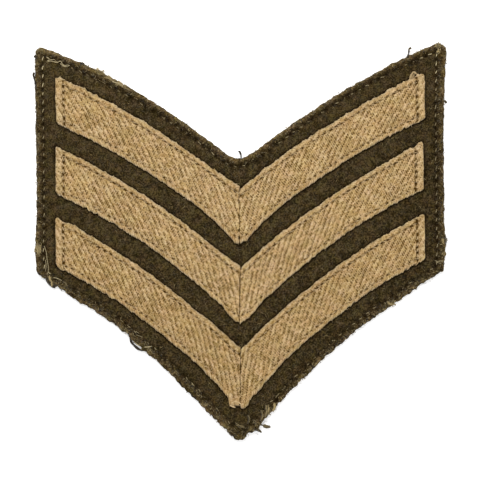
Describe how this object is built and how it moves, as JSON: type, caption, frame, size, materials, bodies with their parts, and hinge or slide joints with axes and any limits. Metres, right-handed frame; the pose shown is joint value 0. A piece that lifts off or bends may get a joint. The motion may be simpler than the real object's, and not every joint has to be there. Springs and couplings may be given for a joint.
{
  "type": "rank chevron",
  "caption": "Cloth rank badge of curved, downward-pointing tape bars sewn on a notched and pointed wool backing with a stitched, turned-under edge.",
  "frame": {"origin": "on the resting face, z = 0, at the middle of the badge's width and height", "axes": "+X across the badge to the wearer's left as seen from the front, +Y from the pointed foot to the notched edge, +Z out of the face of the badge"},
  "size_m": [0.1268, 0.1226, 0.0036],
  "materials": {
    "wool_cloth": "dark khaki milled wool cloth, matt and slightly hairy",
    "worsted_tape": "tan worsted twill tape, matt with raised slanting ribs",
    "sewing_thread": "pale khaki cotton thread, matt"
  },
  "bodies": {
    "root": {"backing": "wool_cloth", "top_left_bar": "worsted_tape", "top_right_bar": "worsted_tape", "middle_left_bar": "worsted_tape", "middle_right_bar": "worsted_tape", "bottom_left_bar": "worsted_tape", "bottom_right_bar": "worsted_tape"}
  },
  "joints": []
}
